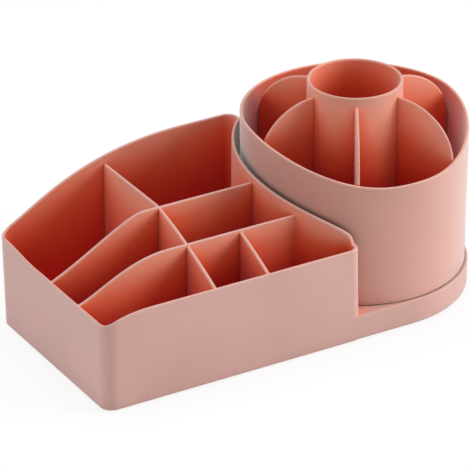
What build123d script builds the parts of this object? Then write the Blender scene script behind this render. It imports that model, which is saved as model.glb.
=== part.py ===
from build123d import *
from math import asin, cos, degrees, radians, sin, sqrt, tan
import os

# Desk organizer of moulded plastic: a tray with seven open compartments, whose base runs on into a
# round platform, and a tall cup with a petal divider that turns on the platform on a ring of balls.
# Millimetres, +Z up, +X from the tray to the cup, +Y to the back. While it is modelled, z = 0 is the
# lower edge of the tray, x = 0 the middle of its length and y = 0 the cup's axis; set_down then puts
# the middle of the whole over the origin and stands it on its feet.

# ---- tray: overall form ----
tray_length = 300.6
platform_radius = 75.0
platform_stand_out = 7.0
front_corner_radius = 8.0
back_corner_radius = 11.5
wall = 2.0
outer_draft = 1.08
divider_draft = 0.35
left_wall_height = 59.3
left_back_height = 62.2
front_wall_height = 65.8
high_wall_height = 104.0
floor_recess = 1.5
floor_thickness = 2.2
skirt = 2.5

# ---- tray: curved upper edges (distances from the left end, or from the front) ----
left_rise_start = 92.0
left_rise_bend = 15.0
back_rise_start = 1.0
back_level = 5.9
back_rise_lead = 16.9
back_rise_ease = 86.7
front_rise_start = 1.0
front_rise_end = 34.0
front_rise_lead = 2.0
front_rise_ease = 26.0
hollow_rise_start = 7.4
hollow_rise_along = 3.0
hollow_rise_up = 26.5
hollow_rise_ease = 10.0

# ---- tray: dividers ----
divider_wall = 2.0
divider_drop = 0.6
cross_divider_x = 78.7
short_divider_x = 117.0
middle_divider_height = 91.3
front_divider_height = 80.9
middle_ramp_end = 67.5
middle_ramp_along = 26.6
middle_ramp_up = 11.8
middle_ramp_ease = 12.2
front_ramp_end = 65.0
front_ramp_along = 16.0
front_ramp_up = 5.5
front_ramp_ease = 28.0
cross_ramp_end = 76.0
cross_ramp_along = 24.0
cross_ramp_up = 12.4
cross_ramp_ease = 9.6

# ---- rounded edges ----
rim_round = 0.8
divider_round = 0.9
cup_rim_round = 0.7
petal_round = 0.95
lower_edge_round = 1.2
waist_round = 8.0

# ---- tray: platform for the cup ----
platform_height = 17.3
step_radius = 6.0
cup_side_gap = 3.2
well_inset = 11.0
well_depth = 7.0
well_floor = 2.5
platform_skin = 2.5
pocket_rib = 1.6
pocket_rib_count = 8
hub_ring_radius = 18.0
post_radius = 7.5
post_inset = 6.0
post_angle = 45.0
round_end_turn = 110.0

# ---- cup ----
platform_ledge = 1.8
cup_draft = 0.5
cup_wall = 2.0
cup_floor = 2.5
cup_lift = 0.6
cup_height = 103.9
rim_dip = 21.6
rim_dip_start = 1.0
rim_dip_end = 90.3
rim_dip_lead = 7.2
rim_dip_ease = 44.4

# ---- petal divider ----
tube_radius = 31.0
tube_height = 144.0
tube_wall = 2.0
tube_draft = 0.25
petal_count = 6
petal_wall = 2.0
petal_height = 138.0
petal_end_height = 100.0
insert_floor = 2.0
insert_clearance = 0.3
spigot_radius = 5.0
key_length = 8.0
key_width = 3.0
key_depth = 1.5
key_circle_radius = 20.0

# ---- turntable ----
ball_radius = 3.0
ball_count = 12
ball_inset = 21.2
ball_play = 0.15
race_depth = 0.8
race_width = 9.0
cage_width = 11.0
cage_thickness = 2.4
hub_radius = 10.0
hub_play = 0.05
bush_wall = 2.0
bush_fit = 0.05
bush_flange_width = 3.0
bush_flange_thickness = 1.5
bush_stand = 1.0
axial_play = 0.2
washer_radius = 14.0
washer_thickness = 1.2
screw_radius = 2.0
screw_length = 14.0
screw_head_radius = 3.9
screw_head_height = 2.5
screw_slot_width = 1.0
screw_slot_depth = 1.3
screw_fit = 0.05

# ---- feet ----
foot_stand = 1.0
foot_radius = 6.0
foot_taper = 0.5
foot_inset = 14.0

# ---- places and slopes that follow from the sizes above ----
half_length = tray_length / 2
cup_x = half_length - platform_radius
left_x = -half_length
tray_depth = 2 * platform_radius - platform_stand_out
middle_divider_y = tray_depth / 2
front_divider_y = tray_depth / 4
front_y = -platform_radius
back_y = tray_depth - platform_radius
outer_slope = tan(radians(outer_draft))
divider_slope = tan(radians(divider_draft))
cup_slope = tan(radians(cup_draft))
cup_base_radius = platform_radius - platform_ledge
well_radius = platform_radius - well_inset
post_circle_radius = well_radius - post_inset
tube_slope = tan(radians(tube_draft))
floor_top = floor_recess + floor_thickness
well_top = platform_height - well_depth
well_underside = well_top - well_floor
cup_bottom = platform_height + cup_lift
cup_floor_top = cup_bottom + cup_floor
rim_height = cup_bottom + cup_height
cup_rim_radius = cup_base_radius + cup_height * cup_slope
hollow_radius = cup_rim_radius + cup_side_gap
hollow_left = cup_x - hollow_radius - step_radius
ball_circle_radius = cup_base_radius - ball_inset
ball_z = well_top + ball_radius + ball_play - race_depth
upper_race_z = ball_z + ball_radius + ball_play - race_depth
bush_bottom = well_underside - bush_flange_thickness
hub_end = bush_bottom - axial_play
bush_bore = hub_radius + hub_play
bush_radius = bush_bore + bush_wall
washer_bottom = hub_end - washer_thickness
spigot_bore = spigot_radius + insert_clearance / 2
above_all = tube_height + wall
below_all = -foot_stand - wall
compartment_top = high_wall_height + wall


def raised(edges, z):
    """Closed wire of edges drawn in the ground plane, lifted to height z."""
    return Wire(edges).moved(Location((0, 0, z)))


def tray_sides(spread, front_end, back_end):
    """Back, left end and front of the tray's plan, moved outwards by spread: from (back_end, back)
    round the two corners to (front_end, front)."""
    front = front_y - spread
    back = back_y + spread
    left = left_x - spread
    front_corner = front_corner_radius + spread
    back_corner = back_corner_radius + spread
    return [
        Line((back_end, back), (left + back_corner, back)),
        CenterArc((left + back_corner, back - back_corner), back_corner, 90, 90),
        Line((left, back - back_corner), (left, front + front_corner)),
        CenterArc((left + front_corner, front + front_corner), front_corner, 180, 90),
        Line((left + front_corner, front), (front_end, front)),
    ]


def base_outline(z, inset=0.0):
    """Outside of the base at height z: the tray's sides, and round the cup a circle that is wider
    than the tray is deep, so that it stands out at the back."""
    spread = z * outer_slope - inset
    radius = platform_radius + spread
    meet = 180 - degrees(asin((back_y + spread) / radius))
    back_end = cup_x + radius * cos(radians(meet))
    edges = tray_sides(spread, cup_x, back_end)
    edges.append(CenterArc((cup_x, 0), radius, -90, 90 + round_end_turn))
    edges.append(CenterArc((cup_x, 0), radius, round_end_turn, meet - round_end_turn))
    return raised(edges, z)


def hollow_face_radius(z, inset):
    """Radius about the cup's axis of the hollow wall at height z. The side towards the cup widens
    upwards, and the side towards the compartments leans the other way, as a moulding needs."""
    lean = (high_wall_height - z) * divider_slope
    return hollow_radius + inset + (lean if inset else -lean)


def tray_outline(z, inset=0.0):
    """Outside of the compartments at height z, or their inside with the wall as inset. The right end
    is hollowed about the cup, with a rounded corner where the hollow meets the front and the back."""
    spread = z * outer_slope - inset
    step = step_radius + spread
    hollow = hollow_face_radius(z, inset)
    corner_edges = []
    ends = []
    meets = []
    for side, line in ((-1, front_y - spread), (1, back_y + spread)):
        step_y = line - side * step
        step_x = sqrt((hollow + step) ** 2 - step_y ** 2)
        turn = Vector(step_x, abs(step_y)).get_angle(Vector(1, 0))
        start = -90 if side < 0 else -turn
        corner_edges.append(CenterArc((cup_x - step_x, step_y), step, start, 90 + turn))
        ends.append(cup_x - step_x)
        share = hollow / (hollow + step)
        meets.append((cup_x - step_x * share, step_y * share))
    edges = tray_sides(spread, ends[0], ends[1])
    edges.append(ThreePointArc(meets[0], (cup_x - hollow, 0), meets[1]))
    return raised(edges + corner_edges, z)


def swoop_face(first, start, low, end, high, last, lead, ease):
    """Region under a rising edge, drawn as (distance, height): level to start, a smooth rise to end,
    then level to last. lead is the way the curve leaves its start, ease how early it levels out."""
    edges = [
        Line((first, 0), (last, 0)),
        Line((last, 0), (last, high)),
        Line((last, high), (end, high)),
        Bezier((end, high), (end - ease, high),
               (start + lead[0], low + lead[1]), (start, low)),
        Line((first, low), (first, 0)),
    ]
    if start > first:
        edges.insert(4, Line((start, low), (first, low)))
    return Face(Wire(edges))


def along_x(face, y_low, y_high):
    """A face drawn as (x, z), made solid from y_low to y_high."""
    placed = Plane((0, y_high, 0), x_dir=(1, 0, 0), z_dir=(0, -1, 0)) * face
    return extrude(placed, amount=y_high - y_low, dir=(0, -1, 0))


def along_y(face, x_low, x_high):
    """A face drawn as (y, z), made solid from x_low to x_high."""
    placed = Plane((x_low, 0, 0), x_dir=(0, 1, 0), z_dir=(1, 0, 0)) * face
    return extrude(placed, amount=x_high - x_low, dir=(1, 0, 0))


def turned(points, x=cup_x):
    """Solid of revolution about a vertical axis at x, from a closed outline of (radius, height)."""
    outline = Face(Wire.make_polygon([Vector(r, 0, z) for r, z in points]))
    return Pos(x, 0, 0) * revolve(outline, Axis.Z)


def tube(outer, inner, z_low, z_high, x=cup_x, y=0.0):
    """Plain upright tube, or a disc where the inner radius is 0."""
    height = z_high - z_low
    at = Pos(x, y, z_low)
    upright = (Align.CENTER, Align.CENTER, Align.MIN)
    body = at * Cylinder(outer, height, align=upright)
    if inner > 0:
        body -= at * Cylinder(inner, height, align=upright)
    return body


def ball_ring(radius, z):
    """Ring of round section about the cup's axis, for the ball races."""
    return Pos(cup_x, 0, z) * Torus(ball_circle_radius, radius)


def wall_tops():
    """Space that the tray's outer walls fill: low at the left and the front, swept up at the back
    and along the hollow round the cup."""
    reach = outer_slope * high_wall_height + wall
    left = left_x - reach
    front = front_y - reach
    back = back_y + reach
    level = along_x(Face(Wire.make_polygon([(left, 0), (cup_x, 0), (cup_x, left_wall_height),
                                            (left, left_wall_height)])), front, back)
    left_rise = along_y(swoop_face(front, front_y + left_rise_start, left_wall_height,
                                   back_y - back_corner_radius, left_back_height, back,
                                   (left_rise_bend, 0), left_rise_bend),
                        left, left_x + back_corner_radius)
    back_rise = along_x(swoop_face(left, left_x + back_rise_start, left_back_height,
                                   hollow_left - back_level, high_wall_height, cup_x,
                                   (back_rise_lead, 0), back_rise_ease),
                        back_y - back_corner_radius, back)
    front_rise = along_x(swoop_face(left, left_x + front_rise_start, left_wall_height,
                                    left_x + front_rise_end, front_wall_height, cup_x,
                                    (front_rise_lead, 0), front_rise_ease),
                         front, front_y + front_corner_radius)
    hollow_rise = along_y(swoop_face(front, front_y + hollow_rise_start, front_wall_height,
                                     back_y - back_corner_radius, high_wall_height, back,
                                     (hollow_rise_along, hollow_rise_up), hollow_rise_ease),
                          hollow_left, cup_x)
    return level + left_rise + back_rise + front_rise + hollow_rise


def divider_plate(length, height):
    """Upright plate along X from x = 0, thicker at its foot by the draft of both faces."""
    foot = divider_wall / 2 + (height - floor_top) * divider_slope
    section = Face(Wire.make_polygon([Vector(0, -foot, floor_recess), Vector(0, foot, floor_recess),
                                      Vector(0, divider_wall / 2, height),
                                      Vector(0, -divider_wall / 2, height)]))
    return extrude(section, amount=length, dir=(1, 0, 0))


def round_top(plate):
    """Rounds the long upper edges of a divider."""
    lowest = left_wall_height - divider_drop - wall
    upper = plate.edges().filter_by(lambda edge: edge.bounding_box().min.Z > lowest)
    return fillet(upper.filter_by(lambda edge: edge.length > divider_wall * 2), divider_round)


def dividers():
    """Two dividers along the tray, one across it and a short one in front. Each starts level with
    the wall that it leaves, climbs, and levels out."""
    half_wall = wall / 2
    plates = Part()
    rows = [(middle_divider_y, middle_divider_height, middle_ramp_end,
             (middle_ramp_along, middle_ramp_up), middle_ramp_ease),
            (front_divider_y, front_divider_height, front_ramp_end,
             (front_ramp_along, front_ramp_up), front_ramp_ease)]
    for y, height, ramp_end, lead, ease in rows:
        plate = Pos(left_x, front_y + y, 0) * divider_plate(cup_x - left_x, height)
        edge = swoop_face(left_x, left_x + half_wall, left_wall_height - divider_drop,
                          left_x + ramp_end, height, cup_x, lead, ease)
        plates += round_top(plate & along_x(edge, front_y, back_y))
    crossings = [(cross_divider_x, tray_depth), (short_divider_x, front_divider_y)]
    for x, length in crossings:
        plate = Pos(left_x + x, front_y, 0) * Rot(0, 0, 90) * divider_plate(length,
                                                                            middle_divider_height)
        edge = swoop_face(front_y, front_y + half_wall, front_wall_height - divider_drop,
                          front_y + cross_ramp_end, middle_divider_height, back_y,
                          (cross_ramp_along, cross_ramp_up), cross_ramp_ease)
        plates += round_top(plate & along_y(edge, left_x, cup_x))
    return plates


def make_base():
    """The tray's base and platform, with the lower edge and the platform's upper edge rounded."""
    base = Solid.make_loft([base_outline(0), base_outline(platform_height)], ruled=True)
    waist_x = cup_x - sqrt(platform_radius ** 2 - back_y ** 2)
    waist = base.edges().sort_by_distance((waist_x, back_y, platform_height / 2))[0]
    base = fillet(waist, waist_round)
    levels = base.edges().group_by(Axis.Z)
    base = fillet(levels[0], lower_edge_round)
    return fillet(base.edges().group_by(Axis.Z)[-1], rim_round)


def make_tray_body():
    """The tray and its platform, one moulding."""
    block = Solid.make_loft([tray_outline(0), tray_outline(compartment_top)], ruled=True)
    inside = Solid.make_loft([tray_outline(floor_top, wall), tray_outline(compartment_top, wall)],
                             ruled=True)
    walls = ((Part() + block) - inside) & wall_tops()
    lowest = left_wall_height - rim_round
    rim = walls.edges().filter_by(lambda edge: edge.bounding_box().min.Z > lowest)
    tray = fillet(rim, rim_round)
    tray += (Part() + make_base()) - inside
    tray += dividers() & block
    tray -= underside_recess()
    tray += underside_ribs()
    tray -= tube(well_radius, 0, well_top, above_all)
    tray -= tube(bush_radius + bush_fit, 0, below_all, above_all)
    return tray - ball_ring(ball_radius + ball_play, ball_z)


def underside_recess():
    """Hollow underside: shallow under the compartments, deep round the well under the platform."""
    shallow = Solid.make_loft([base_outline(below_all, skirt), base_outline(floor_recess, skirt)],
                              ruled=True)
    deep_top = platform_height - platform_skin
    deep = Solid.make_loft([base_outline(below_all, skirt), base_outline(deep_top, skirt)],
                           ruled=True)
    deep = (Part() + deep) & tube(hollow_radius - wall, 0, below_all, deep_top)
    deep -= tube(well_radius + wall, 0, well_underside, above_all)
    return deep + shallow


def underside_ribs():
    """Ribs and foot posts that stiffen the platform from below."""
    skirt_radius = platform_radius - skirt
    deep_top = platform_height - platform_skin
    ribs = tube(hub_ring_radius + pocket_rib, hub_ring_radius, floor_recess, well_underside)
    for i in range(pocket_rib_count):
        angle = (i + 0.5) * 360 / pocket_rib_count
        rib = Box(skirt_radius - hub_ring_radius, pocket_rib, deep_top - floor_recess,
                  align=(Align.MIN, Align.CENTER, Align.MIN))
        ribs += Pos(cup_x, 0, floor_recess) * Rot(0, 0, angle) * Pos(hub_ring_radius, 0, 0) * rib
    for angle in (-post_angle, post_angle):
        x, y = post_place(angle)
        ribs += tube(post_radius, 0, floor_recess, deep_top, x, y)
    return ribs


def post_place(angle):
    """Place of a foot post under the platform."""
    return (cup_x + post_circle_radius * cos(radians(angle)),
            post_circle_radius * sin(radians(angle)))


def cup_radius(z):
    """Outer radius of the cup at height z."""
    return cup_base_radius + (z - cup_bottom) * cup_slope


def make_cup_shell():
    """Tall round cup with a swept rim that dips at the front, and its hub and ball race below."""
    outline = [
        (spigot_bore, cup_floor_top),
        (cup_radius(cup_floor_top) - cup_wall, cup_floor_top),
        (cup_radius(rim_height) - cup_wall, rim_height),
        (cup_radius(rim_height), rim_height),
        (cup_radius(cup_bottom), cup_bottom),
        (ball_circle_radius + race_width / 2, cup_bottom),
        (ball_circle_radius + race_width / 2, upper_race_z),
        (ball_circle_radius - race_width / 2, upper_race_z),
        (ball_circle_radius - race_width / 2, cup_bottom),
        (hub_radius, cup_bottom),
        (hub_radius, hub_end),
        (spigot_bore, hub_end),
    ]
    shell = turned(outline)
    shell -= ball_ring(ball_radius + ball_play, ball_z)
    reach = cup_rim_radius + cup_wall
    rim = swoop_face(-reach, rim_dip_start - cup_base_radius, rim_height - rim_dip,
                     rim_dip_end - cup_base_radius, rim_height, reach,
                     (rim_dip_lead, 0), rim_dip_ease)
    shell &= along_y(rim, cup_x - reach, cup_x + reach)
    lowest = rim_height - rim_dip - rim_round
    shell = fillet(shell.edges().filter_by(lambda edge: edge.bounding_box().min.Z > lowest),
                   cup_rim_round)
    return shell - keys(insert_clearance)


def keys(clearance):
    """Two keys under the petal divider that stop it turning in the cup, or their slots."""
    key = Box(key_length + 2 * clearance, key_width + 2 * clearance, key_depth + clearance,
              align=(Align.CENTER, Align.CENTER, Align.MAX))
    pair = Part()
    for side in (-1, 1):
        pair += Pos(cup_x + side * key_circle_radius, 0, cup_floor_top) * key
    return pair


def make_petal_divider():
    """Drop-in divider: a floor disc, an upright tube and six petal-shaped fins. A spigot under the
    floor takes the pivot screw."""
    edge = cup_wall + insert_clearance
    inside = cup_radius(cup_floor_top) - edge
    floor_z = cup_floor_top + insert_floor
    spread = (tube_height - floor_z) * tube_slope
    divider = turned([(0, cup_floor_top), (inside, cup_floor_top),
                      (inside + insert_floor * cup_slope, floor_z), (0, floor_z)])
    middle = turned([(tube_radius - tube_wall - spread, floor_z - insert_floor),
                     (tube_radius + spread, floor_z - insert_floor),
                     (tube_radius, tube_height), (tube_radius - tube_wall, tube_height)])
    divider += fillet(middle.edges().group_by(Axis.Z)[-1], divider_round)
    for i in range(petal_count):
        divider += Pos(cup_x, 0, 0) * Rot(0, 0, i * 360 / petal_count) * petal(inside, edge)
    divider += tube(spigot_radius, 0, hub_end + axial_play, cup_floor_top)
    divider -= tube(screw_radius + screw_fit, 0, hub_end, washer_bottom + screw_length + axial_play)
    return divider + keys(0)


def petal(inside, edge):
    """One fin from the tube to the cup's wall, its top a quarter of an ellipse."""
    end = cup_radius(petal_end_height) - edge
    inner = tube_radius - tube_wall / 2
    width = end - inner
    height = petal_height - petal_end_height
    crown = EllipticalCenterArc((inner, petal_end_height), width, height,
                                start_angle=0, arc_size=90)
    outline = Wire([
        Line((inner, cup_floor_top), (inside, cup_floor_top)),
        Line((inside, cup_floor_top), (end, petal_end_height)),
        crown,
        Line((inner, petal_height), (inner, cup_floor_top)),
    ])
    placed = Plane((0, petal_wall / 2, 0), x_dir=(1, 0, 0), z_dir=(0, -1, 0)) * Face(outline)
    fin = extrude(placed, amount=petal_wall, dir=(0, -1, 0))
    return fillet(fin.edges().filter_by(GeomType.ELLIPSE), petal_round)


def make_ball_cage():
    """Flat ring that keeps the balls evenly spaced."""
    low = ball_z - cage_thickness / 2
    ring = tube(ball_circle_radius + cage_width / 2, ball_circle_radius - cage_width / 2,
                low, low + cage_thickness)
    for x, y in ball_places():
        ring -= tube(ball_radius + ball_play, 0, low, low + cage_thickness, x, y)
    return ring


def ball_places():
    """Centres of the balls in plan."""
    places = []
    for i in range(ball_count):
        angle = radians((i + 0.5) * 360 / ball_count)
        places.append((cup_x + ball_circle_radius * cos(angle), ball_circle_radius * sin(angle)))
    return places


def make_pivot_bush():
    """Flanged sleeve pushed into the platform from below, which the cup's hub turns in."""
    sleeve = tube(bush_radius, bush_bore, bush_bottom, well_top + bush_stand)
    flange = tube(bush_radius + bush_flange_width, bush_bore, bush_bottom, well_underside)
    return sleeve + flange


def make_pivot_washer():
    """Wide washer on the hub's lower end, which keeps the cup from lifting out of the bush."""
    return tube(washer_radius, screw_radius + axial_play, washer_bottom, hub_end)


def make_pivot_screw():
    """Pan-head screw with a cross recess, driven from below through the washer into the spigot."""
    shank = tube(screw_radius, 0, washer_bottom, washer_bottom + screw_length)
    head = tube(screw_head_radius, 0, washer_bottom - screw_head_height, washer_bottom)
    head = fillet(head.edges().group_by(Axis.Z)[0], screw_head_height / 2)
    slot = Box(screw_head_radius, screw_slot_width, screw_slot_depth,
               align=(Align.CENTER, Align.CENTER, Align.MIN))
    recess = slot + Rot(0, 0, 90) * slot
    return shank + head - Pos(cup_x, 0, washer_bottom - screw_head_height) * recess


def foot_places():
    """Feet: four under the corners of the compartments, two on the posts under the platform."""
    inner_x = cup_x - hollow_radius - foot_inset
    places = []
    for x in (left_x + foot_inset, inner_x):
        places += [(x, front_y + foot_inset), (x, back_y - foot_inset)]
    return places + [post_place(-post_angle), post_place(post_angle)]


def make_foot(x, y):
    """Round rubber foot, slightly tapered, stuck to the underside."""
    return Pos(x, y, -foot_stand) * Cone(foot_radius - foot_taper, foot_radius,
                                         foot_stand + floor_recess,
                                         align=(Align.CENTER, Align.CENTER, Align.MIN))


# ---- assembly: every piece under its own name ----
pieces = {
    "tray_body": make_tray_body(),
    "cup_shell": make_cup_shell(),
    "petal_divider": make_petal_divider(),
    "ball_cage": make_ball_cage(),
    "pivot_bush": make_pivot_bush(),
    "pivot_washer": make_pivot_washer(),
    "pivot_screw": make_pivot_screw(),
}
for number, (x, y) in enumerate(ball_places(), 1):
    pieces[f"bearing_ball_{number:02d}"] = Pos(x, y, ball_z) * Sphere(ball_radius)
for number, (x, y) in enumerate(foot_places(), 1):
    pieces[f"rubber_foot_{number}"] = make_foot(x, y)

# The walls lean outwards, so the middle of the whole lies a little off the middle of the base.
reach_left = half_length + left_back_height * outer_slope
reach_right = half_length + platform_height * outer_slope
reach_front = platform_radius + front_wall_height * outer_slope
reach_back = platform_radius + platform_height * outer_slope
set_down = Pos((reach_left - reach_right) / 2, (reach_front - reach_back) / 2, foot_stand)

os.makedirs("parts", exist_ok=True)
for name, piece in pieces.items():
    export_step(set_down * piece, f"parts/{name}.step")
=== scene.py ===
import math

import bpy
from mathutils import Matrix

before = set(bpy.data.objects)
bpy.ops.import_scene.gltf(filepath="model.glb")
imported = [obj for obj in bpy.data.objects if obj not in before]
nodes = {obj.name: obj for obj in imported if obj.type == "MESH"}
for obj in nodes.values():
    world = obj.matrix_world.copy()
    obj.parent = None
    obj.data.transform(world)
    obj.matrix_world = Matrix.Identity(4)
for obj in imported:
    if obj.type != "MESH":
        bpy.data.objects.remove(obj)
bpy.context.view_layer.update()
scene = bpy.context.scene

# ---------------------------------------------------------------------------------------------
# The stand-in photographer's table: a pale paper sheet that the organizer stands on. The camera
# and shiny parts see it mostly glowing white, with the organizer's soft shadow faint on it.
floor_size = 8.0
floor_white = (0.9, 0.895, 0.89, 1.0)
floor_glow = 0.85
glow_white = (1.0, 1.0, 1.0, 1.0)
glow_strength = 1.0

bpy.ops.object.select_all(action="DESELECT")
bpy.ops.mesh.primitive_plane_add(size=floor_size, location=(0.0, 0.0, 0.0))
floor = bpy.context.object
floor.name = "studio_floor"
paper = bpy.data.materials.new("pale_paper_sheet")
paper.use_nodes = True
tree = paper.node_tree
tree.nodes.clear()
paper_out = tree.nodes.new("ShaderNodeOutputMaterial")
paper_lit = tree.nodes.new("ShaderNodeBsdfDiffuse")
paper_lit.inputs["Color"].default_value = floor_white
paper_glow = tree.nodes.new("ShaderNodeEmission")
paper_glow.inputs["Color"].default_value = glow_white
paper_glow.inputs["Strength"].default_value = glow_strength
paper_rays = tree.nodes.new("ShaderNodeLightPath")
paper_seen = tree.nodes.new("ShaderNodeMath")
paper_seen.operation = "MAXIMUM"
paper_share = tree.nodes.new("ShaderNodeMath")
paper_share.operation = "MULTIPLY"
paper_share.inputs[1].default_value = floor_glow
paper_mix = tree.nodes.new("ShaderNodeMixShader")
tree.links.new(paper_rays.outputs["Is Camera Ray"], paper_seen.inputs[0])
tree.links.new(paper_rays.outputs["Is Glossy Ray"], paper_seen.inputs[1])
tree.links.new(paper_seen.outputs[0], paper_share.inputs[0])
tree.links.new(paper_share.outputs[0], paper_mix.inputs["Fac"])
tree.links.new(paper_lit.outputs[0], paper_mix.inputs[1])
tree.links.new(paper_glow.outputs[0], paper_mix.inputs[2])
tree.links.new(paper_mix.outputs[0], paper_out.inputs["Surface"])
floor.data.materials.append(paper)

# ---------------------------------------------------------------------------------------------
# The light: a bright room all round, one large soft window to the front right, a weak one to the
# left and one above, so that the cup shades from deep coral on its left to pale pink on its right.
room_level = 0.42
room_white = (1.0, 1.0, 1.0, 1.0)
backdrop_level = 1.0
# Each window: name, place, width in metres, watts and tint.
window_lights = (
    ("window_right", (1.6, -0.95, 0.85), 1.1, 31.0, (1.0, 0.985, 0.97)),
    ("window_left", (-1.5, 0.3, 0.75), 1.0, 7.0, (0.98, 0.98, 1.0)),
    ("window_above", (0.1, 0.3, 1.7), 1.2, 15.0, (1.0, 1.0, 1.0)),
)
window_aim_height = 0.06

world = bpy.data.worlds.new("bright_room")
scene.world = world
world.use_nodes = True
sky = world.node_tree
sky.nodes.clear()
sky_out = sky.nodes.new("ShaderNodeOutputWorld")
sky_light = sky.nodes.new("ShaderNodeBackground")
sky_light.inputs["Color"].default_value = room_white
sky_light.inputs["Strength"].default_value = room_level
sky_seen = sky.nodes.new("ShaderNodeBackground")
sky_seen.inputs["Color"].default_value = room_white
sky_seen.inputs["Strength"].default_value = backdrop_level
sky_rays = sky.nodes.new("ShaderNodeLightPath")
sky_any = sky.nodes.new("ShaderNodeMath")
sky_any.operation = "MAXIMUM"
sky_mix = sky.nodes.new("ShaderNodeMixShader")
sky.links.new(sky_rays.outputs["Is Camera Ray"], sky_any.inputs[0])
sky.links.new(sky_rays.outputs["Is Transmission Ray"], sky_any.inputs[1])
sky.links.new(sky_any.outputs[0], sky_mix.inputs["Fac"])
sky.links.new(sky_light.outputs[0], sky_mix.inputs[1])
sky.links.new(sky_seen.outputs[0], sky_mix.inputs[2])
sky.links.new(sky_mix.outputs[0], sky_out.inputs["Surface"])

for name, place, width, watts, tint in window_lights:
    lamp = bpy.data.lights.new(name, "AREA")
    lamp.shape = "SQUARE"
    lamp.size = width
    lamp.energy = watts
    lamp.color = tint
    stand = bpy.data.objects.new(name, lamp)
    scene.collection.objects.link(stand)
    stand.location = place
    aim = stand.location.copy()
    aim.z -= window_aim_height
    stand.rotation_euler = aim.to_track_quat("Z", "Y").to_euler()

scene.view_settings.view_transform = "Standard"

# ---------------------------------------------------------------------------------------------
# The camera stands about 2.5 m off to the front left and looks down on the open compartments.
# Its long lens keeps the near and far walls almost parallel.
camera_place = (-1.13338, -1.91093, 1.20214)
camera_turn = (62.6298, 0.1359, -30.4308)
camera_lens = 297.834
camera_sensor = 36.0
camera_far_limit = 50.0

eye = bpy.data.cameras.new("photo_view")
eye.lens = camera_lens
eye.sensor_width = camera_sensor
eye.clip_end = camera_far_limit
camera = bpy.data.objects.new("photo_view", eye)
scene.collection.objects.link(camera)
camera.location = camera_place
camera.rotation_euler = [math.radians(angle) for angle in camera_turn]
scene.camera = camera

# ---------------------------------------------------------------------------------------------
# The tray: base, outer walls, dividers and the hollow wall round the cup are one moulding in
# coral polypropylene. The mould's fine spark grain makes the outside look dusty and pale.
coral_open = (0.555, 0.315, 0.275, 1.0)
coral_rough = 0.52
coral_rough_below = 0.06
coral_rough_above = 0.08
plastic_ior = 1.49
tray_bloom = 0.40
bloom_softness = 0.5
bloom_tint = (1.0, 0.96, 0.94, 1.0)
# Between its own walls the colour is painted a deep coral red, as painted shade and painted light
# that
# the plastic bounces onto itself: colours from the deepest corner outwards, how far a wall counts,
# and how open the place is where each one stands.
painted_hollow_shade_colours = ((0.60, 0.003, 0.0, 1.0), (0.82, 0.115, 0.025, 1.0), (0.84, 0.31, 0.20, 1.0))
tray_reach = 0.10
tray_steps = (0.10, 0.34, 0.66, 0.96)
hollow_samples = 8
# Outer edges get a painted highlight, paler than the plastic: how near an edge has to be, how far
# the surface has to turn there (as the cosine of the angle), and how open the place has to be,
# which leaves inner corners out.
painted_edge_highlight = (1.0, 0.54, 0.40, 1.0)
edge_reach = 0.0012
edge_turn = (0.995, 0.90)
corner_reach = 0.003
corner_openness = (0.80, 0.95)
edge_samples = 6
# Narrow gaps, such as the one between the hollow wall and the cup, get painted shade and go dark
# brown.
gap_painted_shade = (0.16, 0.05, 0.03, 1.0)
crevice_reach = 0.007
crevice_openness = (0.20, 0.60)
# The colour drifts a little in soft clouds, and the spark grain is a fine bump.
cloud_scale = 14.0
cloud_detail = 4.0
cloud_range = (0.3, 0.7)
cloud_shades = (0.94, 1.05)
spark_scale = 1500.0
spark_detail = 3.0
spark_strength = 0.16
spark_height = 0.0002


def openness(tree, reach, samples, own_walls_only):
    """How open a place is, from 0 in a closed corner to 1 in the open."""
    node = tree.nodes.new("ShaderNodeAmbientOcclusion")
    node.samples = samples
    node.only_local = own_walls_only
    node.inputs["Distance"].default_value = reach
    return node


def spread(tree, start, end, low, high):
    """Goes from low to high as its value goes from start to end, and stays there beyond."""
    node = tree.nodes.new("ShaderNodeMapRange")
    node.inputs["From Min"].default_value = start
    node.inputs["From Max"].default_value = end
    node.inputs["To Min"].default_value = low
    node.inputs["To Max"].default_value = high
    return node


def cloud_noise(tree, scale, detail):
    """Cloudy pattern fixed to the piece itself."""
    place = tree.nodes.new("ShaderNodeTexCoord")
    node = tree.nodes.new("ShaderNodeTexNoise")
    node.inputs["Scale"].default_value = scale
    node.inputs["Detail"].default_value = detail
    tree.links.new(place.outputs["Object"], node.inputs["Vector"])
    return node


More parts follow.
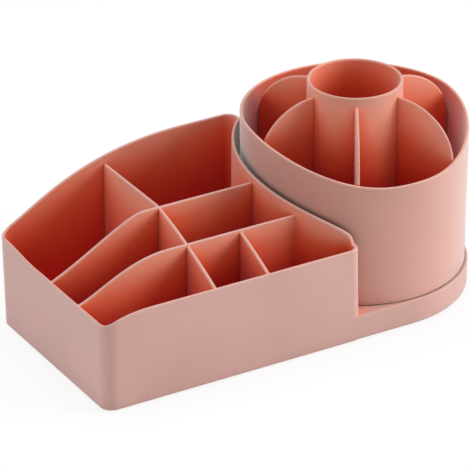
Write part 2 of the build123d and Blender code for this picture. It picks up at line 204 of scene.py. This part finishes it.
def moulded_plastic(name, open_colour, bloom, reach, steps, own_walls_only):
    """Dusty coral plastic: painted shade and bounce light make hollows deep red, the open paler,
    and painted highlights light the outer edges.
    """
    material = bpy.data.materials.new(name)
    material.use_nodes = True
    t = material.node_tree
    shader = t.nodes["Principled BSDF"]
    shader.inputs["IOR"].default_value = plastic_ior
    shader.inputs["Sheen Weight"].default_value = bloom
    shader.inputs["Sheen Roughness"].default_value = bloom_softness
    shader.inputs["Sheen Tint"].default_value = bloom_tint

    # Painted shade and painted bounce light: the less open the place, the deeper red the colour.
    hollow = openness(t, reach, hollow_samples, own_walls_only)
    painted_hollow_shade = t.nodes.new("ShaderNodeValToRGB")
    painted_hollow_shade.color_ramp.interpolation = "EASE"
    painted_hollow_shade.color_ramp.elements[0].position = steps[0]
    painted_hollow_shade.color_ramp.elements[0].color = painted_hollow_shade_colours[0]
    painted_hollow_shade.color_ramp.elements[1].position = steps[-1]
    painted_hollow_shade.color_ramp.elements[1].color = open_colour
    for step, colour in zip(steps[1:-1], painted_hollow_shade_colours[1:]):
        stop = painted_hollow_shade.color_ramp.elements.new(step)
        stop.color = colour
    t.links.new(hollow.outputs["AO"], painted_hollow_shade.inputs["Fac"])

    cloud = cloud_noise(t, cloud_scale, cloud_detail)
    drift = spread(t, cloud_range[0], cloud_range[1], cloud_shades[0], cloud_shades[1])
    clouded_colour = t.nodes.new("ShaderNodeVectorMath")
    clouded_colour.operation = "SCALE"
    gloss = spread(t, 0.0, 1.0, coral_rough - coral_rough_below, coral_rough + coral_rough_above)
    t.links.new(cloud.outputs["Fac"], drift.inputs["Value"])
    t.links.new(painted_hollow_shade.outputs["Color"], clouded_colour.inputs[0])
    t.links.new(drift.outputs["Result"], clouded_colour.inputs["Scale"])
    t.links.new(cloud.outputs["Fac"], gloss.inputs["Value"])
    t.links.new(gloss.outputs["Result"], shader.inputs["Roughness"])

    # The rounded normal feeds the bump and the painted highlight, which turns the colour paler on
    # outer edges.
    rounded = t.nodes.new("ShaderNodeBevel")
    rounded.samples = edge_samples
    rounded.inputs["Radius"].default_value = edge_reach
    flat = t.nodes.new("ShaderNodeNewGeometry")
    turn = t.nodes.new("ShaderNodeVectorMath")
    turn.operation = "DOT_PRODUCT"
    edge = spread(t, edge_turn[0], edge_turn[1], 0.0, 1.0)
    corner = openness(t, corner_reach, edge_samples, True)
    outward = spread(t, corner_openness[0], corner_openness[1], 0.0, 1.0)
    edge_highlight_mask = t.nodes.new("ShaderNodeMath")
    edge_highlight_mask.operation = "MULTIPLY"
    highlighted_colour = t.nodes.new("ShaderNodeMix")
    highlighted_colour.data_type = "RGBA"
    highlighted_colour.inputs["B"].default_value = painted_edge_highlight
    t.links.new(rounded.outputs["Normal"], turn.inputs[0])
    t.links.new(flat.outputs["Normal"], turn.inputs[1])
    t.links.new(turn.outputs["Value"], edge.inputs["Value"])
    t.links.new(corner.outputs["AO"], outward.inputs["Value"])
    t.links.new(edge.outputs["Result"], edge_highlight_mask.inputs[0])
    t.links.new(outward.outputs["Result"], edge_highlight_mask.inputs[1])
    t.links.new(edge_highlight_mask.outputs["Value"], highlighted_colour.inputs["Factor"])
    t.links.new(clouded_colour.outputs[0], highlighted_colour.inputs["A"])

    # Painted shade: the colour turns dark brown in narrow gaps.
    crevice = openness(t, crevice_reach, edge_samples, False)
    clear_of_gap = spread(t, crevice_openness[0], crevice_openness[1], 0.0, 1.0)
    final_colour = t.nodes.new("ShaderNodeMix")
    final_colour.data_type = "RGBA"
    final_colour.inputs["A"].default_value = gap_painted_shade
    t.links.new(crevice.outputs["AO"], clear_of_gap.inputs["Value"])
    t.links.new(clear_of_gap.outputs["Result"], final_colour.inputs["Factor"])
    t.links.new(highlighted_colour.outputs["Result"], final_colour.inputs["B"])
    t.links.new(final_colour.outputs["Result"], shader.inputs["Base Color"])

    sparks = cloud_noise(t, spark_scale, spark_detail)
    bump = t.nodes.new("ShaderNodeBump")
    bump.inputs["Strength"].default_value = spark_strength
    bump.inputs["Distance"].default_value = spark_height
    t.links.new(sparks.outputs["Fac"], bump.inputs["Height"])
    t.links.new(rounded.outputs["Normal"], bump.inputs["Normal"])
    t.links.new(bump.outputs["Normal"], shader.inputs["Normal"])
    return material


tray_finish = moulded_plastic(
    "coral_tray_plastic", coral_open, tray_bloom, tray_reach, tray_steps, own_walls_only=True
)
nodes["tray_body"].material_slots[0].material = tray_finish

# ---------------------------------------------------------------------------------------------
# The feet: six stick-on dots of black rubber under the base, pressed against its underside.
# They are slightly dusty from the desk.
foot_black = (0.022, 0.021, 0.021, 1.0)
foot_dust = (0.09, 0.085, 0.08, 1.0)
foot_rough = 0.8
foot_speck_scale = 900.0
foot_speck_detail = 5.0
foot_bump_strength = 0.4
foot_bump_height = 0.0002

foot_finish = bpy.data.materials.new("dusty_foot_rubber")
foot_finish.use_nodes = True
tree = foot_finish.node_tree
foot_shader = tree.nodes["Principled BSDF"]
foot_shader.inputs["Roughness"].default_value = foot_rough
foot_specks = cloud_noise(tree, foot_speck_scale, foot_speck_detail)
foot_colour = tree.nodes.new("ShaderNodeMix")
foot_colour.data_type = "RGBA"
foot_colour.inputs["A"].default_value = foot_black
foot_colour.inputs["B"].default_value = foot_dust
foot_bump = tree.nodes.new("ShaderNodeBump")
foot_bump.inputs["Strength"].default_value = foot_bump_strength
foot_bump.inputs["Distance"].default_value = foot_bump_height
tree.links.new(foot_specks.outputs["Fac"], foot_colour.inputs["Factor"])
tree.links.new(foot_colour.outputs["Result"], foot_shader.inputs["Base Color"])
tree.links.new(foot_specks.outputs["Fac"], foot_bump.inputs["Height"])
tree.links.new(foot_bump.outputs["Normal"], foot_shader.inputs["Normal"])
for name, node in nodes.items():
    if name.startswith("rubber_foot"):
        node.material_slots[0].material = foot_finish

# ---------------------------------------------------------------------------------------------
# The turntable's own parts: a nylon sleeve pressed into the platform, a nylon cage and twelve
# steel balls in the groove, and a zinc-plated washer and screw that hold the cup down.
nylon_colours = ((0.70, 0.67, 0.58, 1.0), (0.60, 0.56, 0.47, 1.0))
zinc_colours = ((0.62, 0.62, 0.60, 1.0), (0.48, 0.49, 0.50, 1.0))
steel_colours = ((0.60, 0.60, 0.61, 1.0), (0.52, 0.52, 0.54, 1.0))
small_part_detail = 6.0
small_part_noise_rough = 0.6
small_part_bump_height = 0.0001


def clouded(name, colours, scale, rough, rough_spread, metal, bump_strength):
    """Two close shades in clouds, with gloss and a slight bump that follow them."""
    material = bpy.data.materials.new(name)
    material.use_nodes = True
    t = material.node_tree
    shader = t.nodes["Principled BSDF"]
    shader.inputs["Metallic"].default_value = metal
    noise = cloud_noise(t, scale, small_part_detail)
    noise.inputs["Roughness"].default_value = small_part_noise_rough
    mix = t.nodes.new("ShaderNodeMix")
    mix.data_type = "RGBA"
    mix.inputs["A"].default_value = colours[0]
    mix.inputs["B"].default_value = colours[1]
    gloss = spread(t, 0.0, 1.0, rough - rough_spread, rough + rough_spread)
    bump = t.nodes.new("ShaderNodeBump")
    bump.inputs["Strength"].default_value = bump_strength
    bump.inputs["Distance"].default_value = small_part_bump_height
    t.links.new(noise.outputs["Fac"], mix.inputs["Factor"])
    t.links.new(noise.outputs["Fac"], gloss.inputs["Value"])
    t.links.new(noise.outputs["Fac"], bump.inputs["Height"])
    t.links.new(mix.outputs["Result"], shader.inputs["Base Color"])
    t.links.new(gloss.outputs["Result"], shader.inputs["Roughness"])
    t.links.new(bump.outputs["Normal"], shader.inputs["Normal"])
    return material


nylon_finish = clouded(
    "natural_nylon", nylon_colours, scale=120.0, rough=0.42, rough_spread=0.08, metal=0.0,
    bump_strength=0.15
)
zinc_finish = clouded(
    "zinc_plated_steel", zinc_colours, scale=300.0, rough=0.34, rough_spread=0.12, metal=1.0,
    bump_strength=0.25
)
ball_finish = clouded(
    "polished_ball_steel", steel_colours, scale=400.0, rough=0.12, rough_spread=0.05, metal=1.0,
    bump_strength=0.03
)
for name, node in nodes.items():
    if name in ("pivot_bush", "ball_cage"):
        node.material_slots[0].material = nylon_finish
    elif name in ("pivot_washer", "pivot_screw"):
        node.material_slots[0].material = zinc_finish
    elif name.startswith("bearing_ball"):
        node.material_slots[0].material = ball_finish

# ---------------------------------------------------------------------------------------------
# The cup: a tall round shell with a rim that dips at the front, moulded in the same coral
# plastic as the tray. It comes from its own batch, a shade pinker, with a stronger pale bloom.
cup_open = (0.54, 0.255, 0.20, 1.0)
cup_bloom = 1.0
# How far walls count for the cup's painted hollow shade, and how open the place is for each
# colour.
cup_reach = 0.20
cup_steps = (0.28, 0.58, 0.87, 0.99)

cup_finish = moulded_plastic(
    "coral_cup_plastic", cup_open, cup_bloom, cup_reach, cup_steps, own_walls_only=True
)
nodes["cup_shell"].material_slots[0].material = cup_finish

# ---------------------------------------------------------------------------------------------
# The petal divider: a middle tube, six petals and a thin floor in one moulding of the cup's
# plastic, dropped into the cup. The cup's wall round it counts for its painted shade too, which
# deepens its colour.
petal_reach = 0.07
petal_steps = (0.12, 0.36, 0.72, 0.97)

petal_finish = moulded_plastic(
    "coral_petal_plastic", cup_open, tray_bloom, petal_reach, petal_steps, own_walls_only=False
)
nodes["petal_divider"].material_slots[0].material = petal_finish
